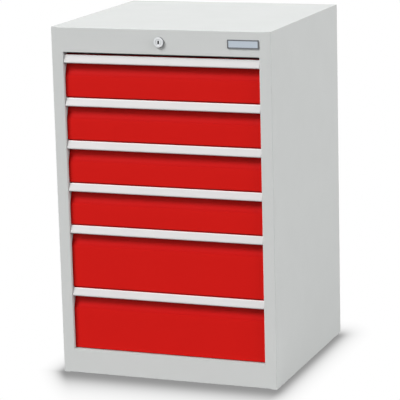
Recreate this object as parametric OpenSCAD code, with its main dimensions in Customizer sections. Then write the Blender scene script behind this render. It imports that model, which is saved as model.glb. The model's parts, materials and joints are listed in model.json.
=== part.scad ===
/* [Carcass] */
// Overall width of the cabinet
body_w = 530; // [480:5:640]
// Depth of the carcass, from the front plane to the back
body_d = 500; // [480:5:600]
// Thickness of the carcass sheet
sheet_t = 1.2; // [0.8:0.1:1.6]
// Inside radius of the folds in all sheet pieces
fold_r = 0.4; // [0.2:0.1:0.8]
// Width of the stile at each side of the opening
stile_w = 28; // [25:1:40]
// Width of the stile that is left beside the fascia and the rail
stile_tongue_w = 14; // [8:1:20]
// Height of the fascia above the drawers
fascia_h = 58; // [52:1:80]
// Height of the rail below the drawers
plinth_h = 56; // [40:1:90]
// How far the edges of the opening are folded back
return_d = 22; // [14:1:26]
// Width of the flanges round the back
rear_flange_w = 20; // [14:1:30]
// Gap between two flanges that meet edge to edge
seam = 0.3; // [0.1:0.1:0.6]

/* [Drawer fronts] */
// Distance from one low drawer to the next
small_pitch = 100; // [95:1:130]
// Distance from one tall drawer to the next
large_pitch = 150; // [145:1:200]
// Gap between two drawer fronts
front_gap = 2; // [1:0.5:4]
// Gap between the fascia and the top handle
head_gap = 6; // [3:0.5:10]
// Gap between the lowest front and the rail
foot_gap = 4; // [2:0.5:8]
// Gap between a drawer front and the stile
side_gap = 0.8; // [0.5:0.1:3]
// Thickness of the drawer front's sheet
front_t = 1; // [0.8:0.1:1.2]
// How far the face of a front lies behind the front plane
face_setback = 7; // [4:0.5:10]
// Depth of the pan that the front is folded to
pan_d = 22; // [21.5:0.5:28]
// Height of the finger recess below the handle
recess_h = 29; // [20:1:40]
// Depth of the recess where it meets the nose
recess_d = 15; // [8:0.5:19]
// Radius of the bend between the recess and the face
recess_bend_r = 30; // [5:1:50]
// Height of the nose along the top of a front, which carries the handle
nose_h = 8; // [6:0.5:10]
// Width of the flanges that join a front to its tray
pan_flange_w = 22; // [18:1:30]

/* [Handles] */
// Height of the handle strip
handle_h = 19.5; // [16:0.5:24]
// Wall of the handle extrusion
handle_t = 2; // [1.5:0.1:2.5]
// Setback of the handle's top edge
handle_top_setback = 6; // [3:0.5:9]
// Setback of the handle's lower edge
handle_low_setback = 0.5; // [0:0.1:2]
// Depth of the lip turned in along the lower edge
handle_lip_d = 4; // [3:0.5:6]

/* [Trays] */
// Thickness of the tray sheet
tray_t = 1; // [0.8:0.1:1.2]
// Height of the walls of a low tray
small_tray_h = 70; // [62:1:74]
// Height of the walls of a tall tray
large_tray_h = 120; // [90:1:124]
// Height of the tray's floor above the lower edge of its front
tray_lift = 6; // [3:0.5:8]
// Depth of the space behind the trays, which holds the lock bar
rear_room = 32; // [24:1:60]
// Width of the edge folded inwards round the top of a tray
tray_hem_w = 7; // [4:0.5:9]

/* [Runners] */
// Height of a runner
runner_h = 45; // [40:0.5:50]
// Width of a runner, from the upright to the tray
runner_w = 12.7; // [12.2:0.1:16]
// Thickness of the runner strip
runner_t = 1.2; // [1:0.1:1.3]
// How far a runner reaches past the back of its tray
runner_past = 3; // [0:0.5:5]
// Running play between two runner members
runner_play = 0.4; // [0.3:0.05:0.5]
// Height of the mouth that the next member passes through
runner_mouth_h = 33; // [30:0.5:34]
// Height of the runner's middle above the tray's floor
runner_lift = 30; // [27:1:36]
// Distance of a runner's front end behind the tray's front
runner_start = 2; // [1:0.5:6]

/* [Uprights] */
// Width of an upright's face
upright_w = 40; // [30:1:50]
// Width of the brims welded to the side panel
upright_brim_w = 12; // [8:1:16]
// Distance of an upright's middle from the front plane or the back
upright_inset = 62; // [58:1:80]
// How far an upright's face stands inside the stile's edge
upright_proud = 1; // [0.5:0.5:3]
// Height of a runner's hook
hook_h = 6; // [5:0.5:8]
// How far a hook reaches down behind the upright's face
hook_drop = 5; // [3:0.5:7]
// Thickness of a hook
hook_t = 3; // [2:0.5:4]
// Play of a hook in its slot
hook_play = 0.3; // [0.2:0.1:0.5]

/* [Lock] */
// Diameter of the lock's rosette
rosette_d = 24; // [22:0.5:30]
// How far the rosette stands out from the fascia
rosette_proud = 4.5; // [3:0.5:8]
// Width of the bevel round the rosette
rosette_bevel = 0.8; // [0.5:0.1:2]
// Diameter of the lock's barrel
barrel_d = 19; // [17:0.5:20]
// Length of the barrel behind the rosette
barrel_len = 24; // [20:1:30]
// Play of the barrel in the fascia and in its nut
barrel_play = 0.2; // [0.1:0.05:0.4]
// Width across the flats of the barrel's nut
nut_flats = 24; // [23:0.5:28]
// Thickness of the barrel's nut
nut_t = 5; // [4:0.5:7]
// Diameter of the turning plug
plug_d = 13; // [12:0.5:14]
// Width of the bevels where the plug meets the rosette
plug_bevel = 0.6; // [0.3:0.1:1]
// Running clearance of turning pieces, on the radius
turn_play = 0.08; // [0.05:0.01:0.1]
// Width of the keyway
key_w = 2.7; // [1.6:0.1:3]
// Height of the keyway
key_h = 7; // [5:0.5:8]
// Depth of the keyway
key_d = 20; // [10:1:24]
// Diameter of the lock shaft
shaft_d = 8; // [6:0.5:10]
// Diameter of the sleeve that joins the shaft to the plug
sleeve_d = 14; // [12:0.5:16]
// Width of the square tang on the plug
tang_w = 6; // [5:0.5:7]
// Length of the tang
tang_len = 10; // [8:1:14]
// Distance from the shaft to the crank pin
crank_r = 8; // [7:0.5:9]
// Thickness of the crank arm
crank_t = 3; // [2:0.5:4]
// Gap between the crank arm and the lock bar
crank_gap = 3; // [2:0.5:5]
// Diameter of the crank pin
pin_d = 5; // [4:0.5:6]
// Play of the pin in the bar's slot
pin_play = 0.4; // [0.35:0.05:0.6]
// Width of the shaft's bearing bracket
bracket_w = 30; // [24:1:40]
// Thickness of the bearing bracket
bracket_t = 2; // [1.5:0.1:3]
// Distance of the bearing bracket in front of the crank
bracket_lead = 12; // [6:1:24]
// Length of the bracket's foot under the top
bracket_foot = 24; // [16:1:40]

/* [Lock bar] */
// Width of the lock bar
bar_w = 30; // [28:1:40]
// Thickness of the lock bar
bar_t = 3; // [2:0.5:4]
// Gap between the trays and the lock bar
bar_gap = 11; // [8:1:14]
// Length of the bar above the slot
bar_head = 6; // [4:0.5:8]
// Length of the bar below the lowest tray's edge
bar_tail = 15; // [5:1:40]
// Width of a finger on the bar
finger_w = 16; // [10:1:20]
// Height of the flange that fixes a finger to the bar
finger_flange_h = 12; // [8:1:14]
// Height of a finger's tip above its tray when unlocked
finger_rise = 2; // [1:0.5:3]
// Gap between a finger and the folded edge of its tray
finger_gap = 3; // [2:0.5:5]
// Height that is left over the tray when locked
finger_spare = 0.7; // [0.5:0.1:1.5]
// Play of the bar in its guide blocks
guide_play = 0.3; // [0.2:0.05:0.5]
// Wall of a guide block
guide_wall = 3; // [2:0.5:4]
// Height of a guide block
guide_h = 20; // [14:1:30]
// Distance of a guide block below the tray's top edge
guide_drop = 24; // [22:1:30]

/* [Name plate] */
// Width of the plate
plate_w = 74; // [40:1:120]
// Height of the plate
plate_h = 20; // [14:1:30]
// Thickness of the plate at its rim
plate_t = 1.6; // [1:0.1:2.5]
// Width of the rim
plate_rim = 1.8; // [1:0.1:3]
// Depth of the field inside the rim
plate_field = 0.6; // [0.2:0.1:0.8]
// Corner radius of the plate
plate_r = 1.5; // [0.5:0.1:1.8]

/* [Hidden] */
$fn = 64;
// Largest turn of one flat in a fold and in a wide bend, in degrees
fold_step = 30;
wide_step = 4;
// Length by which cutting shapes reach past a face
slack = 1;
half_w = body_w / 2;
front_y = -body_d / 2;
back_y = body_d / 2;
open_half = half_w - stile_w;
tongue_x = half_w - stile_tongue_w;
corner_r = sheet_t + fold_r;

drawer_count = 6;
small_count = 4;
drawers = [0 : drawer_count - 1];
low_drawers = [0 : small_count - 1];
tall_drawers = [small_count : drawer_count - 1];
pitches = [for (i = drawers) i < small_count ? small_pitch : large_pitch];
fascia_z = plinth_h + head_gap + total(pitches, drawer_count);
body_h = fascia_z + fascia_h;

front_half = open_half - side_gap;
pan_y = front_y + face_setback + pan_d;
handle_slope = (handle_top_setback - handle_low_setback) / handle_h;
handle_back_y = front_y + handle_top_setback + handle_t * norm([1, handle_slope]);
tray_y = pan_y;
tray_d = body_d - face_setback - pan_d - rear_room;
tray_back_y = tray_y + tray_d;
runner_x = open_half - upright_proud;
tray_half = runner_x - runner_w;
runner_y = tray_y + runner_start;
runner_len = tray_d - runner_start + runner_past;

lock_z = fascia_z + fascia_h / 2;
lift = crank_r * sqrt(2);
plug_y = front_y - rosette_proud;
plug_len = rosette_proud + barrel_len;
bar_y = tray_back_y + bar_gap;
crank_y = bar_y - crank_gap - crank_t;
finger_y = tray_back_y - tray_hem_w - finger_gap - bar_t;
finger_len = lift + finger_spare - finger_rise;

steel_grey = "#c7c9c8";
signal_red = "#c91d19";
pale_alloy = "#dfddde";
zinc = "#b9bcbd";
chrome = "#cfd2d4";
plate_silver = "#b4c0cc";
dark_plastic = "#3a3c3e";

function total(list, n) = n == 0 ? 0 : list[n - 1] + total(list, n - 1);
function top_z(i) = fascia_z - head_gap - total(pitches, i);
function low_z(i) = top_z(i) - pitches[i] + (i < drawer_count - 1 ? front_gap : foot_gap);
function floor_z(i) = low_z(i) + tray_lift;
function tray_h(i) = i < small_count ? small_tray_h : large_tray_h;
function rim_z(i) = floor_z(i) + tray_h(i);
function runner_z(i) = floor_z(i) + runner_lift;
function drawer_node(i, piece) = str("drawer_", i + 1, "_", piece);

CARCASS_NODES = ["left_side_panel", "right_side_panel", "top_panel", "base_panel", "back_panel",
    "left_front_upright", "left_rear_upright", "right_front_upright", "right_rear_upright", "name_plate"];
LOCK_NODES = ["lock_housing", "lock_nut", "lock_plug", "lock_shaft", "shaft_bracket", "lock_bar",
    "upper_lock_fingers", "lower_lock_fingers", "lock_bar_guides"];
DRAWER_PIECES = ["tray", "front", "handle", "slide_outer", "slide_middle", "slide_inner"];

// Directions along a path of points in the plane
function unit(v) = v / norm(v);
function left_of(v) = [-v[1], v[0]];
function leg_dir(path, i) = unit(path[i + 1] - path[i]);

// Path moved to its left by a distance, with its corners kept sharp
function beside(path, gap) = [
    for (i = [0 : len(path) - 1])
        let (a = leg_dir(path, max(i - 1, 0)))
        let (b = leg_dir(path, min(i, len(path) - 2)))
        let (m = left_of(a) + left_of(b))
        path[i] + m * (2 * gap / (m * m))
];

// Angle that a path turns at a corner, positive to the left
function turn_at(path, i) =
    let (a = leg_dir(path, i - 1))
    let (b = leg_dir(path, i))
    atan2(cross(a, b), a * b);
function turned_by(v, angle) = v * cos(angle) + left_of(v) * sin(angle);

// Points of a round bend at a corner, on the side of the path that lies off to its left
function bend_points(path, i, mid_r, off, step = fold_step) =
    let (turn = turn_at(path, i))
    let (inward = left_of(leg_dir(path, i - 1)) * sign(turn))
    let (centre = path[i] + turned_by(inward, turn / 2) * mid_r / cos(turn / 2))
    let (steps = ceil(abs(turn) / step))
    [for (k = [0 : steps]) centre - turned_by(inward, turn * k / steps) * (mid_r - sign(turn) * off)];

// One side of a folded strip
function strip_side(path, mid_r, off) = [
    for (i = [0 : len(path) - 1])
        let (end = i == 0 || i == len(path) - 1)
        let (d = leg_dir(path, min(i, len(path) - 2)))
        each end ? [path[i] + left_of(d) * off] : bend_points(path, i, mid_r, off)
];
function backwards_list(list) = [for (i = [len(list) - 1 : -1 : 0]) list[i]];

// Edge view of a folded strip, along the middle of its thickness
module strip(path, t, r) {
    mid_r = r + t / 2;
    polygon(concat(strip_side(path, mid_r, -t / 2), backwards_list(strip_side(path, mid_r, t / 2))));
}

// Edge view of folded sheet, given by its outer face with the sheet on the left
module sheet(face, t) {
    strip(beside(face, t / 2), t, fold_r);
}

// Side view (y, z) carried across the cabinet between two places
module across(x0, x1) {
    translate([x0, 0, 0]) rotate([90, 0, 90]) linear_extrude(x1 - x0) children();
}

// Front view (x, z) carried backwards between two places
module backwards(y0, y1) {
    translate([0, y1, 0]) rotate([90, 0, 0]) linear_extrude(y1 - y0) children();
}

// The same shape at the right and at the left
module both_sides() {
    children();
    mirror([1, 0, 0]) children();
}

module rounded_rect(w, h, r) {
    square([w, h - 2 * r], center = true);
    square([w - 2 * r, h], center = true);
    for (x = [-1, 1], y = [-1, 1]) translate([x * (w / 2 - r), y * (h / 2 - r)]) circle(r);
}

// Side wall folded round to the stile in front and to a flange behind
module side_panel() {
    ear_w = tongue_x - open_half;
    color(steel_grey) difference() {
        linear_extrude(body_h - sheet_t) sheet([
            [open_half, front_y + return_d], [open_half, front_y], [half_w, front_y],
            [half_w, back_y], [half_w - rear_flange_w, back_y]], sheet_t);
        translate([open_half - slack, front_y - slack, fascia_z])
            cube([ear_w + slack, return_d + 2 * slack, fascia_h]);
        translate([open_half - slack, front_y - slack, -slack])
            cube([ear_w + slack, return_d + 2 * slack, plinth_h + slack]);
    }
}

module right_side_panel() {
    side_panel();
}

module left_side_panel() {
    mirror([1, 0, 0]) side_panel();
}

// Top, with the fascia and the rear flange folded down from it
module top_panel() {
    leg = return_d;
    rear_half = half_w - rear_flange_w - seam;
    color(steel_grey) difference() {
        union() {
            translate([0, 0, body_h - sheet_t]) linear_extrude(sheet_t) difference() {
                rounded_rect(body_w, body_d, corner_r);
                translate([-tongue_x, front_y - slack]) square([2 * tongue_x, corner_r + slack]);
                translate([-rear_half, back_y - corner_r]) square([2 * rear_half, corner_r + slack]);
            }
            across(-open_half, open_half) sheet([
                [front_y + leg, body_h], [front_y, body_h], [front_y, fascia_z],
                [front_y + return_d, fascia_z]], sheet_t);
            both_sides() across(open_half - sheet_t, tongue_x)
                sheet([[front_y + leg, body_h], [front_y, body_h], [front_y, fascia_z]], sheet_t);
            across(-rear_half, rear_half)
                sheet([[back_y, body_h - rear_flange_w], [back_y, body_h], [back_y - leg, body_h]], sheet_t);
        }
        translate([0, front_y - slack, lock_z]) rotate([-90, 0, 0])
            cylinder(d = barrel_d + 2 * barrel_play, h = sheet_t + 2 * slack);
    }
}

// Floor of the carcass, with the rail below the drawers folded up from it
module base_panel() {
    leg = return_d;
    rear_y = back_y - 2 * sheet_t;
    floor_half = half_w - sheet_t;
    color(steel_grey) {
        translate([-floor_half, front_y + corner_r, 0])
            cube([2 * floor_half, rear_y - corner_r - (front_y + corner_r), sheet_t]);
        across(-open_half, open_half) sheet([
            [front_y + return_d, plinth_h], [front_y, plinth_h], [front_y, 0], [front_y + leg, 0]], sheet_t);
        both_sides() across(open_half - sheet_t, tongue_x)
            sheet([[front_y, plinth_h], [front_y, 0], [front_y + leg, 0]], sheet_t);
        across(-floor_half, floor_half)
            sheet([[rear_y - leg, 0], [rear_y, 0], [rear_y, rear_flange_w]], sheet_t);
    }
}

// Back sheet, lapped inside the flanges of the side panels and the top and clear of their folds
module back_panel() {
    inner_half = half_w - corner_r;
    color(steel_grey) translate([-inner_half, back_y - 2 * sheet_t, 0])
        cube([2 * inner_half, sheet_t, body_h - corner_r]);
}

// Hat-section post on the side panel, with a slot for each runner's hook
module upright(y) {
    wall_x = half_w - 1.5 * sheet_t;
    web_x = runner_x + sheet_t / 2;
    leg_y = (upright_w - sheet_t) / 2;
    brim_y = upright_w / 2 + upright_brim_w;
    color(zinc) translate([0, y, 0]) difference() {
        translate([0, 0, sheet_t]) linear_extrude(body_h - 2 * sheet_t) strip([
            [wall_x, -brim_y], [wall_x, -leg_y], [web_x, -leg_y],
            [web_x, leg_y], [wall_x, leg_y], [wall_x, brim_y]], sheet_t, fold_r);
        for (i = drawers)
            translate([runner_x - slack, -hook_t / 2 - hook_play, runner_z(i) - hook_h / 2])
                cube([sheet_t + 2 * slack, hook_t + 2 * hook_play, hook_h + hook_drop + hook_play]);
    }
}

module right_front_upright() {
    upright(front_y + upright_inset);
}

module right_rear_upright() {
    upright(back_y - upright_inset);
}

module left_front_upright() {
    mirror([1, 0, 0]) upright(front_y + upright_inset);
}

module left_rear_upright() {
    mirror([1, 0, 0]) upright(back_y - upright_inset);
}

// Bare plate with a raised rim, on the fascia
module name_plate() {
    plate_x = open_half - plate_w / 2;
    color(plate_silver) translate([plate_x, front_y, lock_z]) rotate([90, 0, 0]) difference() {
        linear_extrude(plate_t) rounded_rect(plate_w, plate_h, plate_r);
        translate([0, 0, plate_t - plate_field]) linear_extrude(plate_field + slack)
            square([plate_w - 2 * plate_rim, plate_h - 2 * plate_rim], center = true);
    }
}

// Turned pieces on the lock's axis: the profile is radius against distance behind a start
module turned(y) {
    translate([0, y, lock_z]) rotate([-90, 0, 0]) rotate_extrude() children();
}

// Rosette and barrel of the lock, with the bore for the plug
module lock_housing() {
    bore_r = plug_d / 2 + turn_play;
    color(chrome) turned(plug_y) polygon([
        [bore_r + plug_bevel, 0], [rosette_d / 2 - rosette_bevel, 0], [rosette_d / 2, rosette_bevel],
        [rosette_d / 2, rosette_proud], [barrel_d / 2, rosette_proud],
        [barrel_d / 2, plug_len], [bore_r, plug_len], [bore_r, plug_bevel]]);
}

// Nut that holds the barrel behind the fascia
module lock_nut() {
    color(zinc) translate([0, front_y + sheet_t, lock_z]) rotate([-90, 0, 0]) difference() {
        cylinder(d = nut_flats / cos(30), h = nut_t, $fn = 6);
        translate([0, 0, -slack]) cylinder(d = barrel_d + 2 * barrel_play, h = nut_t + 2 * slack);
    }
}

// Turning plug with its keyway in front and a square tang behind
module lock_plug() {
    plug_r = plug_d / 2;
    color(chrome) {
        difference() {
            turned(plug_y) polygon([
                [0, 0], [plug_r - plug_bevel, 0], [plug_r, plug_bevel], [plug_r, plug_len], [0, plug_len]]);
            translate([0, plug_y + (key_d - slack) / 2, lock_z])
                cube([key_w, key_d + slack, key_h], center = true);
        }
        translate([0, plug_y + plug_len + tang_len / 2, lock_z])
            cube([tang_w, tang_len, tang_w], center = true);
    }
}

// Shaft from the plug to the back, with a sleeve in front and a crank behind
module lock_shaft() {
    sleeve_y = plug_y + plug_len;
    sleeve_len = tang_len + shaft_d;
    shaft_len = crank_y + crank_t - sleeve_y;
    crank_arm = [crank_r * cos(45), crank_r * sin(45)];
    color(zinc) difference() {
        translate([0, 0, lock_z]) {
            translate([0, sleeve_y, 0]) rotate([-90, 0, 0]) cylinder(d = sleeve_d, h = sleeve_len);
            translate([0, sleeve_y, 0]) rotate([-90, 0, 0]) cylinder(d = shaft_d, h = shaft_len);
            translate([0, crank_y, 0]) rotate([-90, 0, 0]) cylinder(d = 2 * shaft_d, h = crank_t);
            rotate([0, -45, 0]) translate([0, crank_y, -shaft_d / 2]) cube([crank_r, crank_t, shaft_d]);
            translate([crank_arm[0], crank_y, crank_arm[1]]) rotate([-90, 0, 0]) {
                cylinder(d = shaft_d, h = crank_t);
                cylinder(d = pin_d, h = bar_y + bar_t - crank_y + slack);
            }
        }
        translate([0, sleeve_y, lock_z]) cube(
            [tang_w + 2 * turn_play, 2 * (tang_len + turn_play), tang_w + 2 * turn_play], center = true);
    }
}

// Angle under the top that carries the rear of the shaft
module shaft_bracket() {
    y = crank_y - bracket_lead;
    top = body_h - sheet_t;
    color(zinc) difference() {
        across(-bracket_w / 2, bracket_w / 2)
            sheet([[y, lock_z - shaft_d], [y, top], [y - bracket_foot, top]], bracket_t);
        translate([0, y - bracket_t - slack, lock_z]) rotate([-90, 0, 0])
            cylinder(d = shaft_d + 2 * turn_play, h = bracket_t + 2 * slack);
    }
}

// Flat bar behind the trays, with a slot for the crank pin
module lock_bar() {
    slot_z = lock_z + lift / 2;
    slot_r = pin_d / 2 + pin_play;
    slot_x = crank_r * cos(45);
    top = slot_z + slot_r + bar_head;
    foot = rim_z(drawer_count - 1) - bar_tail;
    color(zinc) difference() {
        translate([-bar_w / 2, bar_y, foot]) cube([bar_w, bar_t, top - foot]);
        translate([0, bar_y - slack, slot_z]) rotate([-90, 0, 0]) linear_extrude(bar_t + 2 * slack) {
            translate([slot_x, -slot_r]) square([crank_r - slot_x, 2 * slot_r]);
            for (x = [slot_x, crank_r]) translate([x, 0]) circle(slot_r);
        }
    }
}

// Angles on the lock bar, each with a finger over the back wall of a tray
module lock_fingers(served) {
    rear = bar_y - bar_t / 2;
    front = finger_y + bar_t / 2;
    color(zinc) for (i = served) {
        tip = rim_z(i) + finger_rise;
        arm = tip + finger_len + bar_t / 2;
        across(-finger_w / 2, finger_w / 2)
            strip([[rear, arm + finger_flange_h], [rear, arm], [front, arm], [front, tip]], bar_t, fold_r);
    }
}

module upper_lock_fingers() {
    lock_fingers(low_drawers);
}

module lower_lock_fingers() {
    lock_fingers(tall_drawers);
}

// Blocks on the back panel that the lock bar slides in
module lock_bar_guides() {
    front = bar_y - guide_play - guide_wall;
    rear = back_y - 2 * sheet_t;
    outer = bar_w + 2 * (guide_play + guide_wall);
    color(dark_plastic) for (i = [1, drawer_count - 2])
        translate([0, 0, rim_z(i) - guide_drop - guide_h]) linear_extrude(guide_h) difference() {
            translate([-outer / 2, front]) square([outer, rear - front]);
            translate([-bar_w / 2 - guide_play, bar_y - guide_play])
                square([bar_w + 2 * guide_play, bar_t + 2 * guide_play]);
        }
}

// Tray folded from one sheet, with its edges turned in
module drawer_tray(i) {
    z0 = floor_z(i);
    z1 = rim_z(i);
    wall_half = tray_half - tray_t / 2;
    wall_z = z0 + tray_t / 2;
    color(zinc) {
        backwards(tray_y, tray_back_y) sheet([
            [tray_hem_w - tray_half, z1], [-tray_half, z1], [-tray_half, z0],
            [tray_half, z0], [tray_half, z1], [tray_half - tray_hem_w, z1]], tray_t);
        across(-wall_half, wall_half) sheet([
            [tray_y + tray_hem_w, z1], [tray_y, z1], [tray_y, wall_z]], tray_t);
        across(-wall_half, wall_half) sheet([
            [tray_back_y, wall_z], [tray_back_y, z1], [tray_back_y - tray_hem_w, z1]], tray_t);
    }
}

// Folded pan of a drawer front, with a nose along its top and a sloped finger recess below that
module drawer_front(i) {
    z0 = low_z(i);
    z1 = top_z(i);
    nose_z = z1 - nose_h;
    face_y = front_y + face_setback;
    recess_z = z1 - handle_h - recess_h;
    recess = [[face_y + recess_d, nose_z], [face_y, recess_z], [face_y, z0]];
    outline = concat(
        [[pan_y, z1], [handle_back_y, z1], [handle_back_y - handle_slope * nose_h, nose_z], recess[0]],
        bend_points(recess, 1, recess_bend_r, 0, wide_step), [recess[2], [pan_y, z0]]);
    color(signal_red) {
        across(-front_half, front_half) sheet(outline, front_t);
        both_sides() {
            across(front_half - front_t, front_half) polygon(beside(outline, front_t / 2));
            translate([front_half - pan_flange_w, pan_y - front_t, z0])
                cube([pan_flange_w, front_t, recess_z - z0]);
        }
    }
}

// Extruded strip on the nose of a front, leaning out over the finger recess
module drawer_handle(i) {
    z1 = top_z(i);
    low_y = front_y + handle_low_setback;
    color(pale_alloy) across(-front_half, front_half) sheet([
        [front_y + handle_top_setback, z1], [low_y, z1 - handle_h],
        [low_y + handle_lip_d, z1 - handle_h]], handle_t);
}

// Runner members in section: distance from the upright, height from the runner's middle
function mirrored(half) = concat(half, [for (p = backwards_list(half)) [p[0], -p[1]]]);
lip_u = [runner_w - 1.5 * runner_t - runner_play, runner_w - 2.5 * runner_t - 2 * runner_play];
web_u = [runner_t / 2, 1.5 * runner_t + runner_play, 2.5 * runner_t + 2 * runner_play];
edge_v = [for (k = [0 : 2]) runner_h / 2 - k * (runner_t + runner_play) - runner_t / 2];
hat_v = runner_mouth_h / 2 - runner_play - runner_t / 2;
OUTER = mirrored([[lip_u[0], runner_mouth_h / 2], [lip_u[0], edge_v[0]], [web_u[0], edge_v[0]]]);
MIDDLE = mirrored([[lip_u[1], runner_mouth_h / 2], [lip_u[1], edge_v[1]], [web_u[1], edge_v[1]]]);
INNER = mirrored([
    [web_u[2], edge_v[2] + runner_t / 2], [web_u[2], hat_v], [runner_w - runner_t / 2, hat_v]]);

// Pair of runner members, one at each side of a drawer
module runner_pair(i, section) {
    both_sides() backwards(runner_y, runner_y + runner_len)
        translate([runner_x, runner_z(i)]) mirror([1, 0]) strip(section, runner_t, fold_r);
}

// Member fixed to the uprights, with a hook through each
module drawer_slide_outer(i) {
    behind = sheet_t + hook_play;
    color(zinc) {
        runner_pair(i, OUTER);
        both_sides() for (y = [front_y + upright_inset, back_y - upright_inset])
            backwards(y - hook_t / 2, y + hook_t / 2) translate([runner_x, runner_z(i)]) polygon([
                [0, -hook_h / 2], [behind, -hook_h / 2], [behind, -hook_h / 2 - hook_drop],
                [behind + hook_t, -hook_h / 2 - hook_drop], [behind + hook_t, hook_h / 2], [0, hook_h / 2]]);
    }
}

module drawer_slide_middle(i) {
    color(zinc) runner_pair(i, MIDDLE);
}

// Member fixed to the tray
module drawer_slide_inner(i) {
    color(zinc) runner_pair(i, INNER);
}

left_side_panel();
right_side_panel();
top_panel();
base_panel();
back_panel();
left_front_upright();
left_rear_upright();
right_front_upright();
right_rear_upright();
name_plate();
lock_housing();
lock_nut();
lock_plug();
lock_shaft();
shaft_bracket();
lock_bar();
upper_lock_fingers();
lower_lock_fingers();
lock_bar_guides();
for (i = drawers) {
    drawer_tray(i);
    drawer_front(i);
    drawer_handle(i);
    drawer_slide_outer(i);
    drawer_slide_middle(i);
    drawer_slide_inner(i);
}
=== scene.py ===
# %% [markdown]
# # A workshop drawer cabinet
# The cabinet is folded and welded from sheet steel: a grey carcass, six red drawers on telescopic
# runners, pale handle strips and one lock for all drawers. Its construction comes in as a fixed frame of
# solid nodes, so this lesson makes what a frame lacks: the finishes, the small fasteners, the light and
# the camera.

# %% Load the frame
import json
import math

import bmesh
import bpy
from mathutils import Color, Matrix, Vector


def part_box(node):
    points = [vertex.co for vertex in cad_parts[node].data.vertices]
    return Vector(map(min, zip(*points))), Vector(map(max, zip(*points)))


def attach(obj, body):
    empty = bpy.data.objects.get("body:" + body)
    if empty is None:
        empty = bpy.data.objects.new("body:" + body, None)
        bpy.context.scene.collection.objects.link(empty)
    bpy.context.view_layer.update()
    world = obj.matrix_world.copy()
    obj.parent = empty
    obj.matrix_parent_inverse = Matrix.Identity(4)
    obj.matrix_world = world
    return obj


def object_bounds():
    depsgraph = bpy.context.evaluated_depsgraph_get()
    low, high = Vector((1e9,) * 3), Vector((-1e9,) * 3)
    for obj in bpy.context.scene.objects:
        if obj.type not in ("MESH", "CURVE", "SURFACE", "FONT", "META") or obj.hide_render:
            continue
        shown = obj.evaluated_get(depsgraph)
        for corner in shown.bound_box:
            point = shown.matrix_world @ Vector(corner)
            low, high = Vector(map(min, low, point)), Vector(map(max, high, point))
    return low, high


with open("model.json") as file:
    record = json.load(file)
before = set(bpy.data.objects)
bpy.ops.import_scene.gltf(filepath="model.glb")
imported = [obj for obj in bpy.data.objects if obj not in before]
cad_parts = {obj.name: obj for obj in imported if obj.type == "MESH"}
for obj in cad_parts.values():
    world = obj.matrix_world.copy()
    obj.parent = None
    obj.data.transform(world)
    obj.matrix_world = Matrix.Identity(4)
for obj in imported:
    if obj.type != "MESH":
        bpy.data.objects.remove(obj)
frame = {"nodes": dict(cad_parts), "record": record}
cad_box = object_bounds()
MM = 0.001

# %% [markdown]
# ## The camera
# The picture was taken from in front, a little to the right and from above, with a long lens. A camera
# could be turned by hand until it fits, but then nobody can read why it stands there. Here it is built
# from an orbit: the point that it looks at, its distance, and the angles round and above the cabinet,
# with a slight roll.

# %% Camera on its orbit
AZIMUTH, ELEVATION, ROLL = math.radians(20.85), math.radians(12.25), math.radians(-1.48)
DISTANCE = 4.991
LOOK_AT = Vector((-0.0064, 0, 0.3753))
LENS_MM = 187.57
FAR_END = 100


def add_camera():
    """The camera of the picture, at the end of its orbit."""
    data = bpy.data.cameras.new("camera")
    data.lens = LENS_MM
    data.clip_end = FAR_END
    camera = bpy.data.objects.new("camera", data)
    orbit = Matrix.Rotation(AZIMUTH, 4, "Z") @ Matrix.Rotation(math.pi / 2 - ELEVATION, 4, "X")
    rolled = Matrix.Translation(LOOK_AT) @ orbit @ Matrix.Rotation(ROLL, 4, "Z")
    camera.matrix_world = rolled @ Matrix.Translation((0, 0, DISTANCE))
    bpy.context.scene.collection.objects.link(camera)
    bpy.context.scene.camera = camera
    return camera


camera = add_camera()
print("camera at", [round(v, 3) for v in camera.matrix_world.translation])

# %% [markdown]
# ## Shader sums as Python
# A finish is mostly arithmetic: take a noise, scale it, add it to a colour. Dragging Math nodes about in
# the editor works for two of them and not for twenty. This class holds one output of a node, and its
# operators add the Math nodes, so that a formula reads as a formula. Every other node comes from its one
# `node` method.

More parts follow.
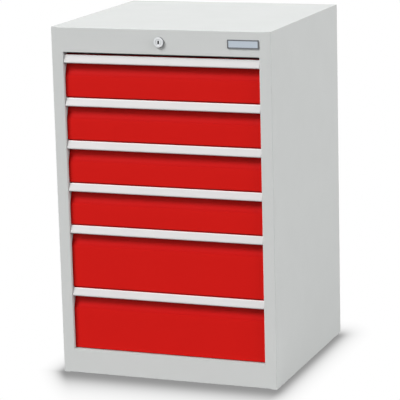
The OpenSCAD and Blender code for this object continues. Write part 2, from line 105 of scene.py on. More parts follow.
# %% A value in a node tree
class Tone:
    """One output of a node in a tree. Sums on it add Math nodes."""

    def __init__(self, tree, socket=None):
        self.tree = tree
        self.socket = socket

    def fill(self, made, sockets):
        """Sets or links sockets of a node, found by their names or numbers."""
        for name, value in sockets.items():
            if isinstance(value, Tone):
                self.tree.links.new(value.socket, made.inputs[name])
            else:
                made.inputs[name].default_value = value

    def node(self, kind, settings=None, sockets=None, output=0):
        """Adds a node: its settings first, then the values or links of its sockets."""
        made = self.tree.nodes.new(kind)
        for name, value in (settings or {}).items():
            setattr(made, name, value)
        self.fill(made, sockets or {})
        return Tone(self.tree, made.outputs[output] if made.outputs else None)

    def math(self, operation, *values):
        return self.node("ShaderNodeMath", {"operation": operation}, dict(enumerate(values)))

    def __add__(self, other):
        return self.math("ADD", self, other)

    def __sub__(self, other):
        return self.math("SUBTRACT", self, other)

    def __rsub__(self, other):
        return self.math("SUBTRACT", other, self)

    def __mul__(self, other):
        return self.math("MULTIPLY", self, other)

    def __truediv__(self, other):
        return self.math("DIVIDE", self, other)

    def __rtruediv__(self, other):
        return self.math("DIVIDE", other, self)

    def __lt__(self, other):
        return self.math("LESS_THAN", self, other)

    def __gt__(self, other):
        return self.math("GREATER_THAN", self, other)

    def __abs__(self):
        return self.math("ABSOLUTE", self)

    __radd__ = __add__
    __rmul__ = __mul__

    def mix(self, first, second):
        """A colour between two, with this value as the share of the second."""
        settings = {"data_type": "RGBA", "clamp_factor": True}
        share, colour_a, colour_b, mixed_colour = 0, 6, 7, 2
        sockets = {share: self, colour_a: first, colour_b: second}
        return self.node("ShaderNodeMix", settings, sockets, output=mixed_colour)

    def ease(self, start, end):
        """0 before the start and 1 past the end, with a soft step between them."""
        sockets = {"Value": self, "From Min": start, "From Max": end}
        return self.node("ShaderNodeMapRange", {"interpolation_type": "SMOOTHSTEP"}, sockets)

    def axes(self):
        """The three numbers of a vector."""
        split = self.node("ShaderNodeSeparateXYZ", None, {"Vector": self}).socket.node
        return [Tone(self.tree, output) for output in split.outputs]


FULL_SCREEN = 255


def linear(red, green, blue):
    """A colour given as it shows on a screen, 0 to 255, as the light values that a shader takes."""
    shown = Color((red, green, blue)) / FULL_SCREEN
    return (*shown.from_srgb_to_scene_linear(), 1)


print("a mid grey of 128 is", round(linear(128, 128, 128)[0], 3), "in light")

# %% [markdown]
# ## The studio
# The cabinet stands on white paper in soft light: a main lamp high at the left, two weak ones lower down,
# a broad one at the right and one behind. Area lamps would leave a pool of light on the paper, so the
# lamps are suns, which light everything alike, with an angle that makes them as soft as diffusers. The
# main lamp decides how far the handles shade the recesses, and the low ones how dark it is right under a
# handle. The lamps at the right and behind make no highlights, because the flat top would mirror them to
# whoever stands opposite.

# %% Lamps
SUNS = {
    "lamp_upper_left": {"azimuth": -50, "elevation": 48, "light": 1.17, "spread": 22},
    "lamp_low_left": {"azimuth": -50, "elevation": 30, "light": 0.09, "spread": 15},
    "lamp_low_front": {"azimuth": -30, "elevation": 12, "light": 0.18, "spread": 30},
    "lamp_right_side": {"azimuth": 83, "elevation": 18, "light": 0.85, "spread": 44, "glossy": False},
    "lamp_behind": {"azimuth": 180, "elevation": 6, "light": 0.72, "spread": 16, "glossy": False},
}


def add_sun(name, azimuth, elevation, light, spread, glossy=True):
    """A lamp round and above the cabinet. A light of 1 shows a surface that faces it as it is written."""
    data = bpy.data.lights.new(name, "SUN")
    data.energy = math.pi * light
    data.angle = math.radians(spread)
    lamp = bpy.data.objects.new(name, data)
    lamp.visible_glossy = glossy
    turn = Matrix.Rotation(math.radians(azimuth), 4, "Z")
    lamp.matrix_world = turn @ Matrix.Rotation(math.radians(90 - elevation), 4, "X")
    bpy.context.scene.collection.objects.link(lamp)


for name, sun in SUNS.items():
    add_sun(name, **sun)
print("lamps:", ", ".join(SUNS))

# %% [markdown]
# ## The white room
# The ground of the picture is pure white. A bright world would give that, but it would also flood the
# cabinet. Light Path tells apart the rays that look at the room from those that only carry light: the
# first see plain white, the others a weak glow, so the picture gets its white ground without more light
# on the cabinet.

# %% World with a weak glow
GLOW = 0.04
WHITE = (1, 1, 1, 1)


def looking_rays(kit):
    """1 for rays that look at the room, also by way of metal or glass, and 0 for rays that light it."""
    path = kit.node("ShaderNodeLightPath").socket.node
    kinds = ("Camera", "Glossy", "Transmission")
    straight, mirrored, through = (Tone(kit.tree, path.outputs[f"Is {kind} Ray"]) for kind in kinds)
    return kit.math("MAXIMUM", straight, kit.math("MAXIMUM", mirrored, through))


def add_room():
    """The world round the cabinet, white to look at."""
    world = bpy.data.worlds.new("studio")
    world.use_nodes = True
    world.node_tree.nodes.clear()
    kit = Tone(world.node_tree)
    strength = GLOW + looking_rays(kit) * (1 - GLOW)
    sky = kit.node("ShaderNodeBackground", None, {"Color": WHITE, "Strength": strength})
    kit.node("ShaderNodeOutputWorld", None, {"Surface": sky})
    bpy.context.scene.world = world
    bpy.context.scene.view_settings.view_transform = "Standard"


add_room()
print("glow of the room:", GLOW)

# %% [markdown]
# ## The paper under the cabinet
# The paper is white to look at, but sends only a fifth of the light back up: more would brighten the
# cabinet's upper half and leave its foot dull. What shows on the paper is the soft shadow round the foot.
# It fades with the distance from the footprint, slowly in front and quickly at the sides, and slants off
# at the left because the light comes from there. Ambient Occlusion adds the shadow of a drawer that is
# pulled out.

# %% Shadow round the foot and under open drawers
BOX_LOW, BOX_HIGH = (Vector(corner) / MM for corner in cad_box)
SHADOW_DEPTH, SHADOW_TAIL, SHADOW_FALL, SHADOW_SLANT = 0.70, 0.04, 2.4, 0.55
SHADOW_REACH_MM = {"left": 23, "right": 26, "front": 76, "back": 45}
LEFT_INSET_MM, BACK_INSET_MM = 5, 45
DRAWER_SHADOW_REACH, DRAWER_SHADOW_POWER, DRAWER_SHADOW_FROM = 0.26, 2.1, 0.72
DRAWER_SHADOW_SAMPLES = 16


def place_in_mm(kit, stretch=(1, 1, 1)):
    """Where a point lies, in millimetres from the middle of the foot, stretched along axes if asked."""
    place = kit.node("ShaderNodeTexCoord", output="Object")
    scale = tuple(1 / (MM * s) for s in stretch)
    return kit.node("ShaderNodeVectorMath", {"operation": "MULTIPLY"}, {0: place, 1: scale})


def foot_shadow(kit):
    """Shadow round the footprint: the further off, the less of it."""
    def past(distance):
        return kit.math("MAXIMUM", distance, 0)

    x, y, _ = place_in_mm(kit).axes()
    front = past(BOX_LOW.y - y)
    back = past(y - BOX_HIGH.y + BACK_INSET_MM)
    left = past(BOX_LOW.x + LEFT_INSET_MM - x + front * SHADOW_SLANT)
    right = past(x - BOX_HIGH.x)
    aside = left / SHADOW_REACH_MM["left"] + right / SHADOW_REACH_MM["right"]
    along = front / SHADOW_REACH_MM["front"] + back / SHADOW_REACH_MM["back"]
    fall = 1 + kit.math("POWER", aside * aside + along * along, SHADOW_FALL / 2)
    return past((SHADOW_DEPTH + SHADOW_TAIL) / fall - SHADOW_TAIL)


def drawer_shadow(kit):
    """Shadow under what closes the paper in from above, such as an open drawer."""
    settings, sockets = {"samples": DRAWER_SHADOW_SAMPLES}, {"Distance": DRAWER_SHADOW_REACH}
    room = kit.node("ShaderNodeAmbientOcclusion", settings, sockets, output="AO")
    closed_in = 1 - kit.math("POWER", room, DRAWER_SHADOW_POWER)
    return closed_in.ease(DRAWER_SHADOW_FROM, 1) * SHADOW_DEPTH


print("footprint from", [round(v, 1) for v in BOX_LOW.xy], "to", [round(v, 1) for v in BOX_HIGH.xy], "mm")

# %% Sheet of paper
PAPER_SPAN = 60
PAPER_GREY = (0.22, 0.22, 0.22, 1)


def white_paper():
    """Paper that is white to look at and dull to the light."""
    paper = bpy.data.materials.new("white_paper")
    paper.use_nodes = True
    paper.node_tree.nodes.clear()
    kit = Tone(paper.node_tree)
    shadow = kit.math("MAXIMUM", foot_shadow(kit), drawer_shadow(kit))
    shown = kit.node("ShaderNodeEmission", None, {"Color": 1 - shadow})
    lit = kit.node("ShaderNodeBsdfDiffuse", None, {"Color": PAPER_GREY})
    sheet = kit.node("ShaderNodeMixShader", None, {0: looking_rays(kit), 1: lit, 2: shown})
    kit.node("ShaderNodeOutputMaterial", None, {"Surface": sheet})
    return paper


def add_floor():
    """One large square of paper. It is a piece of the stage and not of the cabinet."""
    shape = bmesh.new()
    bmesh.ops.create_grid(shape, x_segments=1, y_segments=1, size=PAPER_SPAN / 2)
    mesh = bpy.data.meshes.new("floor")
    shape.to_mesh(mesh)
    shape.free()
    mesh.materials.append(white_paper())
    floor = bpy.data.objects.new("floor", mesh)
    bpy.context.scene.collection.objects.link(floor)


add_floor()
print("paper of", PAPER_SPAN, "m")

# %% [markdown]
# ## What all finishes share
# Every finish on the cabinet is a plain surface that varies a little: its tint, its gloss and its fine
# relief sway about a middle. Each material could be wired by hand in the shader editor, but then a patch
# of 90 mm in one may be 70 mm in the next. These helpers start a material and measure its patterns in
# millimetres.

# %% Helpers of the finishes
PATTERN_MIDDLE = 0.5


def start_finish(name):
    """A new material, its Principled shader and a Tone that adds nodes to its tree."""
    material = bpy.data.materials.new(name)
    material.use_nodes = True
    return material, material.node_tree.nodes["Principled BSDF"], Tone(material.node_tree)


def noise(place, size_mm, detail=2):
    """A soft pattern from 0 to 1 with patches of about this size."""
    return place.node("ShaderNodeTexNoise", None, {"Vector": place, "Scale": 1 / size_mm, "Detail": detail})


def share_out(first, share, second):
    """A pattern made of two: a share of the first, and the second for the rest."""
    return first * share + second * (1 - share)


def sway(middle, *swings):
    """A value that sways about its middle: each swing is a pattern and how far it moves the value."""
    value = middle
    for pattern, reach in swings:
        value = value + (pattern - PATTERN_MIDDLE) * reach
    return value


def bump(height, depth_mm):
    """Fine relief: a height from 0 to 1 and the depth that 1 stands for."""
    return height.node("ShaderNodeBump", None, {"Height": height, "Distance": depth_mm * MM})


print("materials before the finishes:", ", ".join(material.name for material in bpy.data.materials))

# %% [markdown]
# ## Weld marks
# The flanges round the back are spot welded to the back sheet. A spot weld leaves a shallow round dimple
# that the paint only half hides. They could be pressed into the mesh, but a dimple a fraction of a
# millimetre deep costs thousands of faces there and nothing in a bump. Each mark is a soft disc that
# repeats along the flange.

# %% Rows of spot welds on the rear flanges
WELD_STEP_MM, WELD_RADIUS_MM, WELD_CORE_MM, WELD_INSET_MM = 75, 3, 1.8, 10
FLANGE_SKIN_MM = 0.5


def weld_marks(place):
    """1 on a spot weld of the rear flanges and 0 elsewhere."""
    x, y, z = place.axes()

    def row(along, across):
        step = place.math("PINGPONG", along, WELD_STEP_MM / 2)
        apart = place.math("SQRT", step * step + across * across)
        return 1 - apart.ease(WELD_CORE_MM, WELD_RADIUS_MM)

    upright_rows = row(z, abs(x) - (BOX_HIGH.x - WELD_INSET_MM))
    level_row = row(x, z - (BOX_HIGH.z - WELD_INSET_MM))
    return place.math("MAXIMUM", upright_rows, level_row) * (y > BOX_HIGH.y - FLANGE_SKIN_MM)


print("welds every", WELD_STEP_MM, "mm on the flanges at", round(BOX_HIGH.y, 1))

# %% [markdown]
# ## Painted shade in the recesses and on the ledge
# The red paint in the recess under each handle strip and on the bend below it is a deeper tone. This is
# painted shade, which keeps the bend from showing brighter than the face. It is a level band on each
# front, measured down from that front's own top, with soft edges. The narrow ledge of the rail under the
# lowest drawer gets painted shade too, because it would otherwise shine as a white line. Both are masks,
# because a separate piece for a change of tone would only stand proud of the sheet.

# %% Bands of painted shade in the recesses
DRAWERS = range(1, 1 + sum(name.endswith("_tray") for name in frame["nodes"]))
BAND_STARTS_MM, BAND_ENDS_MM = (30, 36), (45, 54)
FRONT_TOPS_MM = [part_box(f"drawer_{drawer}_front")[1].z / MM for drawer in DRAWERS]


def recess_painted_shade(place):
    """1 in the finger recesses, where the paint gets a painted shade, and 0 elsewhere on the fronts."""
    z = place.axes()[2]
    bands = [(top - z).ease(*BAND_STARTS_MM) - (top - z).ease(*BAND_ENDS_MM) for top in FRONT_TOPS_MM]
    return sum(bands[1:], bands[0])


print("finger bands below", [round(top) for top in FRONT_TOPS_MM])

# %% Painted shade on the rail ledge
HEM_RISE_MM = 3
RAIL_LEDGE_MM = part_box("base_panel")[1].z / MM + HEM_RISE_MM
OPENING_HALF_MM = -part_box("left_side_panel")[1].x / MM
LEDGE_REACH_MM, LEDGE_DEPTH_MM = 0.7, 30


def ledge_painted_shade(place):
    """1 on the upper edge of the rail below the drawers, where the paint gets a painted shade, and 0
    elsewhere on the carcass.
    """
    x, y, z = place.axes()
    between_stiles = (abs(x) < OPENING_HALF_MM) * (y < BOX_LOW.y + LEDGE_DEPTH_MM)
    return (abs(z - RAIL_LEDGE_MM) < LEDGE_REACH_MM) * between_stiles


print("ledge at", round(RAIL_LEDGE_MM, 1), "mm, between stiles", round(2 * OPENING_HALF_MM, 1), "mm apart")

# %% [markdown]
# ## Powder coat
# Carcass, fronts and trays are powder coated: a dry paint that is baked on and never quite smooth. Up
# close it has the skin of an orange, a millimetre or two from dimple to dimple, and over a hand's width
# its gloss wanders. The dimples are a bump and not geometry, because they are far finer than the sheet
# that they lie on.

# %% Grey, red and tray paint
CLOUD_MM, SPECK_MM, CLOUD_SHARE = 90, 0.5, 0.7
PEEL_MM, PEEL_DEPTH_MM, WELD_DEPTH_MM = 1.6, 0.02, 0.15
PAINT_ROUGHNESS, CLOUD_SWING, SPECK_SWING = 0.55, 0.16, 0.06
PAINT_SPECULAR = 0.08


def powder_coat(name, colour, shade, dents=None, painted_shade=None, painted_shade_colour=None):
    """Baked paint: a colour, the shade that its clouds go to, a mask of dents, and a mask and a darker
    colour for painted shade.
    """
    material, shader, kit = start_finish(name)
    place = place_in_mm(kit)
    clouds = noise(place, CLOUD_MM, detail=3)
    specks = noise(place, SPECK_MM, detail=1)
    height = noise(place, PEEL_MM, detail=1.5) * PEEL_DEPTH_MM
    paint = share_out(clouds, CLOUD_SHARE, specks).mix(colour, shade)
    if dents:
        height = height - dents(place) * WELD_DEPTH_MM
    # Painted shade: where the mask is 1, the paint turns to the darker colour.
    if painted_shade:
        paint = painted_shade(place).mix(paint, painted_shade_colour)
    roughness = sway(PAINT_ROUGHNESS, (clouds, CLOUD_SWING), (specks, SPECK_SWING))
    kit.fill(shader, {"Base Color": paint, "Roughness": roughness, "Specular IOR Level": PAINT_SPECULAR,
                      "Normal": bump(height, depth_mm=1)})
    return material


# On the carcass the darker colour is painted shade on the rail ledge.
carcass_paint = powder_coat("carcass_paint", colour=linear(201, 203, 202), shade=linear(197, 199, 198),
                            dents=weld_marks, painted_shade=ledge_painted_shade, painted_shade_colour=linear(166, 168, 167))
# On the fronts the darker colour is painted shade in the finger recesses.
front_paint = powder_coat("front_paint", colour=linear(203, 22, 17), shade=linear(198, 20, 15),
                          painted_shade=recess_painted_shade, painted_shade_colour=linear(180, 6, 4))
tray_paint = powder_coat("tray_paint", colour=linear(184, 186, 186), shade=linear(178, 180, 180))
print("paints:", carcass_paint.name, front_paint.name, tray_paint.name)

# %% [markdown]
# ## Drawn aluminium
# A handle strip is pressed through a die, which leaves fine lines along its length, and is then anodised
# to a pale satin. Lines come from a noise that is stretched a hundred times along the strip; they go to
# the roughness and to a very shallow bump. The anodised skin scatters most of the light, so the finish is
# only partly metallic: a bare mirror would show the white room and lose its edges. Both edges get a
# painted highlight, a lighter colour. The strips sit at whole steps of the front module, so one modulo
# finds the distance from the upper edge on all six.

# %% Handle strips
LINE_MM, LINE_STRETCH, LINE_DEPTH_MM = 0.6, (120, 1, 1), 0.004
HAND_MM, LINE_SHARE = 45, 0.6
STRIP_ROUGHNESS, LINE_SWING, HAND_SWING = 0.45, 0.18, 0.12
STRIP_METALLIC, STRIP_SPECULAR = 0.3, 0.08
FRONT_MODULE_MM, BRIGHT_EDGE_MM = 50, (1, 3)
strip_low, strip_high = (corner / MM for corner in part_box("drawer_1_handle"))


def strip_edge_highlight(place):
    """1 along the upper and the lower edge of a handle strip, where a highlight is painted, and 0 between
    them.
    """
    down = place.math("MODULO", strip_high.z - place.axes()[2], FRONT_MODULE_MM)
    up = strip_high.z - strip_low.z - down
    return 1 - place.math("MINIMUM", down, up).ease(*BRIGHT_EDGE_MM)


def drawn_alloy(name, colour, shade, painted_highlight_colour):
    """Satin aluminium with lines along x and painted highlights along both edges."""
    material, shader, kit = start_finish(name)
    place = place_in_mm(kit)
    lines = noise(place_in_mm(kit, LINE_STRETCH), LINE_MM, detail=3)
    hands = noise(place, HAND_MM, detail=3)
    skin = share_out(lines, LINE_SHARE, hands).mix(colour, shade)
    roughness = sway(STRIP_ROUGHNESS, (lines, LINE_SWING), (hands, HAND_SWING))
    # The lighter colour along both edges is a painted highlight.
    kit.fill(shader, {"Base Color": strip_edge_highlight(place).mix(skin, painted_highlight_colour), "Roughness": roughness,
                      "Metallic": STRIP_METALLIC, "Specular IOR Level": STRIP_SPECULAR,
                      "Normal": bump(lines, LINE_DEPTH_MM)})
    return material


# The edge colour is a painted highlight.
handle_metal = drawn_alloy("handle_metal", colour=linear(186, 185, 185), shade=linear(180, 179, 179),
                           painted_highlight_colour=linear(201, 200, 200))
print("metal:", handle_metal.name, "on strips", round(strip_high.z - strip_low.z, 1), "mm high")

# %% [markdown]
# ## Zinc-plated steel
# Runners, uprights and the lock's rods are plated, not painted. Zinc sets in flat crystals, so the sheen
# changes from patch to patch. Voronoi cells give each patch its own value, and that value moves both the
# tint and the roughness. A fresh coat dulls within weeks, so this one is half metal and half a grey that
# scatters.

# %% Runners, uprights and rods
SPANGLE_MM, SPANGLE_SHARE = 7, 0.6
ZINC_GRAIN_MM, ZINC_GRAIN_DEPTH_MM = 1.6, 0.006
ZINC_ROUGHNESS, SPANGLE_SWING, HAZE_SWING = 0.42, 0.14, 0.2
ZINC_METALLIC, ZINC_SPECULAR = 0.5, 0.2


def zinc_plate(name, colour, shade):
    """Dulled zinc in patches."""
    material, shader, kit = start_finish(name)
    place = place_in_mm(kit)
    sockets = {"Vector": place, "Scale": 1 / SPANGLE_MM}
    cells = kit.node("ShaderNodeTexVoronoi", None, sockets, output="Color")
    patch = kit.node("ShaderNodeSeparateColor", None, {"Color": cells})
    haze = noise(place, CLOUD_MM, detail=4)
    tint = share_out(patch, SPANGLE_SHARE, haze).mix(colour, shade)
    roughness = sway(ZINC_ROUGHNESS, (patch, SPANGLE_SWING), (haze, HAZE_SWING))
    kit.fill(shader, {"Base Color": tint, "Roughness": roughness,
                      "Metallic": ZINC_METALLIC, "Specular IOR Level": ZINC_SPECULAR,
                      "Normal": bump(noise(place, ZINC_GRAIN_MM), ZINC_GRAIN_DEPTH_MM)})
    return material


runner_zinc = zinc_plate("runner_zinc", colour=linear(176, 179, 182), shade=linear(158, 162, 166))
print("metal:", runner_zinc.name)

# %% [markdown]
# ## The lock's plated face
# The rosette and the plug are turned on a lathe and nickel plated. Turning leaves rings round the axis,
# so the pattern is read from the distance to that axis, which the frame gives: the middle of the plug's
# box. The bevel behind the face and the rim behind the bevel are painted darker, as painted shade, and
# so is the mouth of the keyway.

# %% Rosette and plug
plug_low, plug_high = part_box("lock_plug")
LOCK_MIDDLE_MM = (plug_low + plug_high) / 2 / MM
LOCK_FACE_MM = plug_low.y / MM
BEVEL_MM, RIM_MM = (0.1, 0.4), (0.6, 0.9)
MOUTH_HALF_X_MM, MOUTH_HALF_Z_MM = 1.9, 3.7
TURNING_MM, TURNING_DEPTH_MM, NICKEL_HAZE_MM = 0.35, 0.004, 4
NICKEL_ROUGHNESS, TURNING_SWING, NICKEL_HAZE_SWING = 0.4, 0.1, 0.1
NICKEL_METALLIC, NICKEL_SPECULAR = 0.3, 0.1


def turned_plate(name, colour, shade, bevel_painted_shade, rim_painted_shade, mouth_painted_shade):
    """Nickel with turning marks, and painted shade on the bevel, the rim and the keyway mouth."""
    material, shader, kit = start_finish(name)
    place = place_in_mm(kit)
    x, y, z = place.axes()
    x, y, z = x - LOCK_MIDDLE_MM.x, y - LOCK_FACE_MM, z - LOCK_MIDDLE_MM.z
    radius = kit.math("SQRT", x * x + z * z)
    turning = noise(kit.node("ShaderNodeCombineXYZ", None, {"X": radius}), TURNING_MM)
    haze = noise(place, NICKEL_HAZE_MM, detail=3)
    # Painted shade: the bevel and, deeper behind the face, the rim turn to darker colours.
    plate = y.ease(*BEVEL_MM).mix(haze.mix(colour, shade), bevel_painted_shade)
    plate = y.ease(*RIM_MM).mix(plate, rim_painted_shade)
    # Painted shade in and round the keyway mouth.
    mouth = (abs(x) < MOUTH_HALF_X_MM) * (abs(z) < MOUTH_HALF_Z_MM)
    roughness = sway(NICKEL_ROUGHNESS, (turning, TURNING_SWING), (haze, NICKEL_HAZE_SWING))
    kit.fill(shader, {"Base Color": mouth.mix(plate, mouth_painted_shade), "Roughness": roughness,
                      "Metallic": NICKEL_METALLIC, "Specular IOR Level": NICKEL_SPECULAR,
                      "Normal": bump(turning, TURNING_DEPTH_MM)})
    return material


# The bevel, rim and mouth colours are painted shade.
lock_nickel = turned_plate("lock_nickel", colour=linear(214, 216, 217), shade=linear(204, 206, 208),
                           bevel_painted_shade=linear(180, 182, 184), rim_painted_shade=linear(104, 106, 108),
                           mouth_painted_shade=linear(34, 34, 36))
print("lock axis at", [round(v, 1) for v in LOCK_MIDDLE_MM], "mm")

# %% [markdown]
# ## The bare plate
# At the right of the fascia sits a small framed plate: a dark rim round a silvery, slightly blue field.
# One material does both, with a mask made from the plate's own box, because a second piece for a film of
# lacquer would be thinner than any gap that could be left under it.

# %% Plate with a dark rim
PLATE_RIM_MM = 2.8
BRUSH_MM, BRUSH_STRETCH, BRUSH_DEPTH_MM = 0.5, (30, 1, 1), 0.004
PLATE_ROUGHNESS, BRUSH_SWING = 0.4, 0.2
PLATE_METALLIC, PLATE_SPECULAR = 0.3, 0.2
plate_low, plate_high = (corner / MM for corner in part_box("name_plate"))


def framed_plate(name, field, field_shade, rim):
    """A brushed field inside a plain rim."""
    material, shader, kit = start_finish(name)
    x, _, z = place_in_mm(kit).axes()

    def within(along, low, high):
        return abs(along - (low + high) / 2) < (high - low) / 2 - PLATE_RIM_MM

    inside = within(x, plate_low.x, plate_high.x) * within(z, plate_low.z, plate_high.z)
    brush = noise(place_in_mm(kit, BRUSH_STRETCH), BRUSH_MM, detail=3)
    kit.fill(shader, {"Base Color": inside.mix(rim, brush.mix(field, field_shade)),
                      "Roughness": sway(PLATE_ROUGHNESS, (brush, BRUSH_SWING)),
                      "Metallic": PLATE_METALLIC, "Specular IOR Level": PLATE_SPECULAR,
                      "Normal": bump(brush, BRUSH_DEPTH_MM)})
    return material


plate_metal = framed_plate("plate_metal", field=linear(181, 190, 199), field_shade=linear(168, 178, 188),
                           rim=linear(106, 109, 112))
print("plate:", [round(v, 1) for v in plate_high - plate_low], "mm")

# %% [markdown]
# ## Moulded plastic
# The two blocks that guide the lock bar are moulded from dark plastic, with the fine grain of a
# spark-eroded mould. The grain is far too fine for geometry, so one small noise gives the tint, the gloss
# and the bump.

# %% Guide blocks
GRAIN_MM, GRAIN_DEPTH_MM = 0.4, 0.02
PLASTIC_ROUGHNESS, GRAIN_SWING = 0.5, 0.2


def moulded_plastic(name, colour, shade):
    """Dark plastic with a fine grain."""
    material, shader, kit = start_finish(name)
    grain = noise(place_in_mm(kit), GRAIN_MM)
    kit.fill(shader, {"Base Color": grain.mix(colour, shade),
                      "Roughness": sway(PLASTIC_ROUGHNESS, (grain, GRAIN_SWING)),
                      "Normal": bump(grain, GRAIN_DEPTH_MM)})
    return material


block_plastic = moulded_plastic("block_plastic", colour=linear(52, 54, 56), shade=linear(42, 44, 46))
print("plastic:", block_plastic.name)

# %% [markdown]
# ## Dressing the frame
# On the real cabinet the carcass, the drawers, the runners and the lock are finished apart and then put
# together. The record that comes with the frame says which finish each node has. The materials could be
# given by name, one by one, but one loop over the record dresses them all, and a piece that is added to
# the frame later is dressed too.

# %% One finish for each node
FINISHES = {"body_grey": carcass_paint, "front_red": front_paint, "tray_grey": tray_paint,
            "handle_alloy": handle_metal, "zinc_steel": runner_zinc, "lock_chrome": lock_nickel,
            "plate_silver": plate_metal, "guide_plastic": block_plastic}
dressed_rows = frame["record"]["subparts"]
for row in dressed_rows:
    materials = frame["nodes"][row["node"]].data.materials
    materials.clear()
    materials.append(FINISHES[row["material_slot"]])
print("dressed", len(dressed_rows), "nodes")

# %% [markdown]
# ## Small heads: rivets and screws
# Sheet metal is held by rivets and screws, and an open drawer shows their heads. A head is round, so it
# could be spun, but a screw also has a six-sided socket. Both are a stack of rings instead: each ring is
# a circle with its own radius, height and number of corners, neighbours are bridged, and the ends are
# closed. One small head is then copied to all its places in one mesh, because a hundred objects for a
# hundred heads would only be in the way.

# %% A head from a stack of rings
# Each ring: its radius and its height in millimetres, and its corners, from the foot upwards.
DOME = [(2.6, 0, 12), (2.6, 0.3, 12), (2.2, 0.9, 12), (1.3, 1.3, 12)]
BUTTON = [(4, 0, 18), (4, 0.5, 18), (3.5, 1.5, 18), (2.4, 2.1, 18), (1.45, 2.2, 6), (1.45, 0.9, 6)]


def stack_of_rings(rings):
    """A closed shape from circles, bridged one to the next."""
    shape = bmesh.new()
    loops = []
    for radius, height, corners in rings:
        raised = Matrix.Translation((0, 0, height * MM))
        made = bmesh.ops.create_circle(shape, segments=corners, radius=radius * MM, matrix=raised)
        loops.append(list({edge for vert in made["verts"] for edge in vert.link_edges}))
    for lower, upper in zip(loops, loops[1:]):
        bmesh.ops.bridge_loops(shape, edges=lower + upper)
    for end in (loops[0], loops[-1]):
        bmesh.ops.edgeloop_fill(shape, edges=end)
    bmesh.ops.recalc_face_normals(shape, faces=shape.faces)
    return shape


rivet_head = stack_of_rings(DOME)
screw_head = stack_of_rings(BUTTON)
print("rivet head:", len(rivet_head.faces), "faces; screw head:", len(screw_head.faces), "faces")

# %% Copies of a head as one piece
SHARP_ANGLE = math.radians(35)


def looking(point, direction):
    """A place for a head: its foot at a point, in millimetres, and its top along a direction."""
    turn = Vector(direction).to_track_quat("Z", "Y").to_matrix().to_4x4()
    return Matrix.Translation(Vector(point) * MM) @ turn


def verts_of(parts):
    return [part for part in parts if isinstance(part, bmesh.types.BMVert)]


def copies(head, places):
    """One shape with a copy of a head at each place."""
    many = head.copy()
    pattern = many.verts[:] + many.edges[:] + many.faces[:]
    for place in places:
        copy = bmesh.ops.duplicate(many, geom=pattern)["geom"]
        bmesh.ops.transform(many, matrix=place, verts=verts_of(copy))
    bmesh.ops.delete(many, geom=verts_of(pattern), context="VERTS")
    return many


def add_piece(name, shape, finish, body):
    """A finished piece that moves with a body of the frame."""
    mesh = bpy.data.meshes.new(name)
    shape.to_mesh(mesh)
    shape.free()
    mesh.shade_smooth()
    mesh.set_sharp_from_angle(angle=SHARP_ANGLE)
    mesh.materials.append(finish)
    piece = bpy.data.objects.new(name, mesh)
    bpy.context.scene.collection.objects.link(piece)
    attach(piece, body)


print("edges sharper than", round(math.degrees(SHARP_ANGLE)), "degrees stay crisp")

# %% [markdown]
# ## Rivets and screws of a drawer
# On each side of a tray the inner runner member is riveted on through the wall, and the drawer's front is
# screwed on from inside. The places could be typed in, but they are worked out from the boxes of the
# tray, the runner and the front, so they stay in the sheet when a size changes.

# %% Places inside the trays
SIDES = (-1, 1)
TRAY_SHEET_MM = 1
RIVETS_PER_SIDE, RIVET_MARGIN_MM = 4, 45
SCREW_INSET_MM, SCREW_FOOT_MM, SCREW_HEADROOM_MM = 18, 16, 58
SCREWS_LOW_FRONT, SCREWS_TALL_FRONT, TALL_FRONT_MM = 2, 3, 120


def box_in_mm(node):
    low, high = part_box(node)
    return low / MM, high / MM


def spread_out(start, end, count):
    return [start + (end - start) * k / (count - 1) for k in range(count)]


def slide_rivets(drawer):
    """Rivets that look inwards from both walls of a tray."""
    low, high = box_in_mm(f"drawer_{drawer}_tray")
    runner_low, runner_high = box_in_mm(f"drawer_{drawer}_slide_inner")
    z = (runner_low.z + runner_high.z) / 2
    wall_x = high.x - TRAY_SHEET_MM
    along = spread_out(low.y + RIVET_MARGIN_MM, high.y - RIVET_MARGIN_MM, RIVETS_PER_SIDE)
    return [looking((side * wall_x, y, z), (-side, 0, 0)) for side in SIDES for y in along]


def front_screws(drawer):
    """Screws that look to the rear from the front wall of a tray."""
    tray_low, _ = box_in_mm(f"drawer_{drawer}_tray")
    low, high = box_in_mm(f"drawer_{drawer}_front")
    count = SCREWS_LOW_FRONT if high.z - low.z < TALL_FRONT_MM else SCREWS_TALL_FRONT
    rows = spread_out(low.z + SCREW_FOOT_MM, high.z - SCREW_HEADROOM_MM, count)
    screw_x, wall_y = high.x - SCREW_INSET_MM, tray_low.y + TRAY_SHEET_MM
    return [looking((side * screw_x, wall_y, z), (0, 1, 0)) for side in SIDES for z in rows]


print("heads in each low drawer:", len(slide_rivets(1)), "rivets,", len(front_screws(1)), "screws")

# %% Heads inside the trays
for drawer in DRAWERS:
    add_piece(f"drawer_{drawer}_slide_rivets", copies(rivet_head, slide_rivets(drawer)), runner_zinc,
              f"drawer_{drawer}")
    add_piece(f"drawer_{drawer}_front_screws", copies(screw_head, front_screws(drawer)), runner_zinc,
              f"drawer_{drawer}")
print("drawers with heads:", len(DRAWERS))

# %% [markdown]
# ## Rivets of the lock bar
# Every finger is a small angle with a flange against the bar, held by two rivets. Their heads could be
# drawn on as a bump, but they catch the light from the side, so they are the same domes as in the trays.
# They sit on the flange, so they ride on the lock bar's body and go down with it when the lock turns.

# %% Heads on the finger flanges
FINGER_RIVET_RISE_MM, FINGER_RIVET_X_MM = 20.5, 4
FLANGE_SHEET_MM = 3
bar_low, bar_high = box_in_mm("lock_bar")


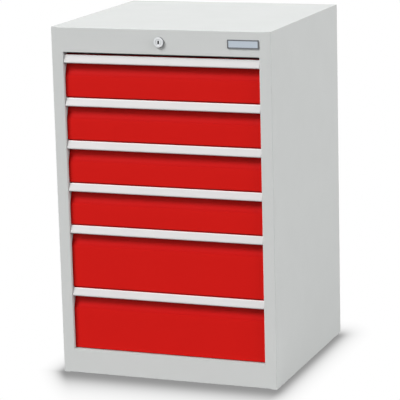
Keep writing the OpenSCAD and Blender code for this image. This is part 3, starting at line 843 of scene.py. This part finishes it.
def finger_rivets():
    """Rivets on both faces of the bar, two for each finger."""
    rims = [box_in_mm(f"drawer_{drawer}_tray")[1].z for drawer in DRAWERS]
    points = [(side * FINGER_RIVET_X_MM, rim + FINGER_RIVET_RISE_MM) for rim in rims for side in SIDES]
    front = [looking((x, bar_low.y - FLANGE_SHEET_MM, z), (0, -1, 0)) for x, z in points]
    rear = [looking((x, bar_high.y, z), (0, 1, 0)) for x, z in points]
    return front + rear


add_piece("lock_finger_rivets", copies(rivet_head, finger_rivets()), runner_zinc, "lock_rod")
print("rivets on the lock bar:", len(finger_rivets()))

# %% [markdown]
# ## The hem of the rail
# The rail below the drawers ends in a hem: the edge of its sheet is folded back on itself, so that no
# hand meets a raw edge. It could be bent from a strip, but only its rounded top shows in the narrow gap
# under the lowest front, so a cube is stretched to its size and its two long upper edges are rounded.

# %% Hem between the stiles
HEM_DEPTH_MM, HEM_ROUND_MM, HEM_PLAY_MM = 12, 0.8, 0.2
HEM_SEGMENTS = 3


def rail_hem():
    """A strip on the rail, as wide as the opening, with its long upper edges rounded."""
    rail_low, rail_high = box_in_mm("base_panel")
    size = Vector((2 * (OPENING_HALF_MM - HEM_PLAY_MM), HEM_DEPTH_MM, HEM_RISE_MM)) * MM
    middle = Vector((0, rail_low.y + HEM_DEPTH_MM / 2, rail_high.z + HEM_RISE_MM / 2)) * MM
    stretched = Matrix.Translation(middle) @ Matrix.Diagonal(size.to_4d())
    shape = bmesh.new()
    bmesh.ops.create_cube(shape, size=1, matrix=stretched)
    upper = [edge for edge in shape.edges
             if edge.calc_length() > 2 * size.y and edge.verts[0].co.z > middle.z]
    bmesh.ops.bevel(shape, geom=upper, offset=HEM_ROUND_MM * MM, segments=HEM_SEGMENTS, profile=0.5,
                    affect="EDGES", material=-1)
    bmesh.ops.recalc_face_normals(shape, faces=shape.faces)
    return shape


add_piece("rail_hem", rail_hem(), carcass_paint, "cabinet")
print("hem on the rail up to", round(RAIL_LEDGE_MM, 1), "mm")

# %% [markdown]
# ## Snap rings of the lock shaft
# A snap ring is an open ring of spring steel that sits in a groove: one keeps the shaft in its bracket,
# one keeps the crank pin in the bar. A torus would be closed and round in section, so a small flat
# section is spun most of the way round instead, which leaves the gap.

# %% Rings on the shaft and on the crank pin
RING_WIDTH_MM, RING_SHEET_MM, RING_PLAY_MM = 2, 0.7, 0.15
RING_TURN, RING_STEPS = math.radians(310), 20
SHAFT_RADIUS_MM, PIN_RADIUS_MM = 4, 2.5
CRANK_MM, CRANK_ANGLE = 8, math.radians(45)


def snap_ring(x, y, z, radius):
    """An open ring round a line along y, with its front face at the given y."""
    inner, outer = radius, radius + RING_WIDTH_MM
    corners = [(inner, 0), (outer, 0), (outer, RING_SHEET_MM), (inner, RING_SHEET_MM)]
    middle = Vector((x, y, z))
    shape = bmesh.new()
    section = [shape.verts.new((middle + Vector((out, back, 0))) * MM) for out, back in corners]
    face = shape.faces.new(section)
    bmesh.ops.spin(shape, geom=[face], cent=middle * MM, axis=(0, 1, 0), angle=RING_TURN,
                   steps=RING_STEPS, use_merge=False)
    bmesh.ops.recalc_face_normals(shape, faces=shape.faces)
    return shape


lock_x, _, lock_z = LOCK_MIDDLE_MM
pin_x, pin_z = lock_x + CRANK_MM * math.cos(CRANK_ANGLE), lock_z + CRANK_MM * math.sin(CRANK_ANGLE)
bracket_high = box_in_mm("shaft_bracket")[1]
snap_rings = {
    "shaft_snap_ring": snap_ring(lock_x, bracket_high.y + RING_PLAY_MM, lock_z, SHAFT_RADIUS_MM),
    "crank_pin_snap_ring": snap_ring(pin_x, bar_high.y + RING_PLAY_MM, pin_z, PIN_RADIUS_MM),
}
for name, ring in snap_rings.items():
    add_piece(name, ring, runner_zinc, "lock_cylinder")
print("snap rings:", ", ".join(snap_rings))
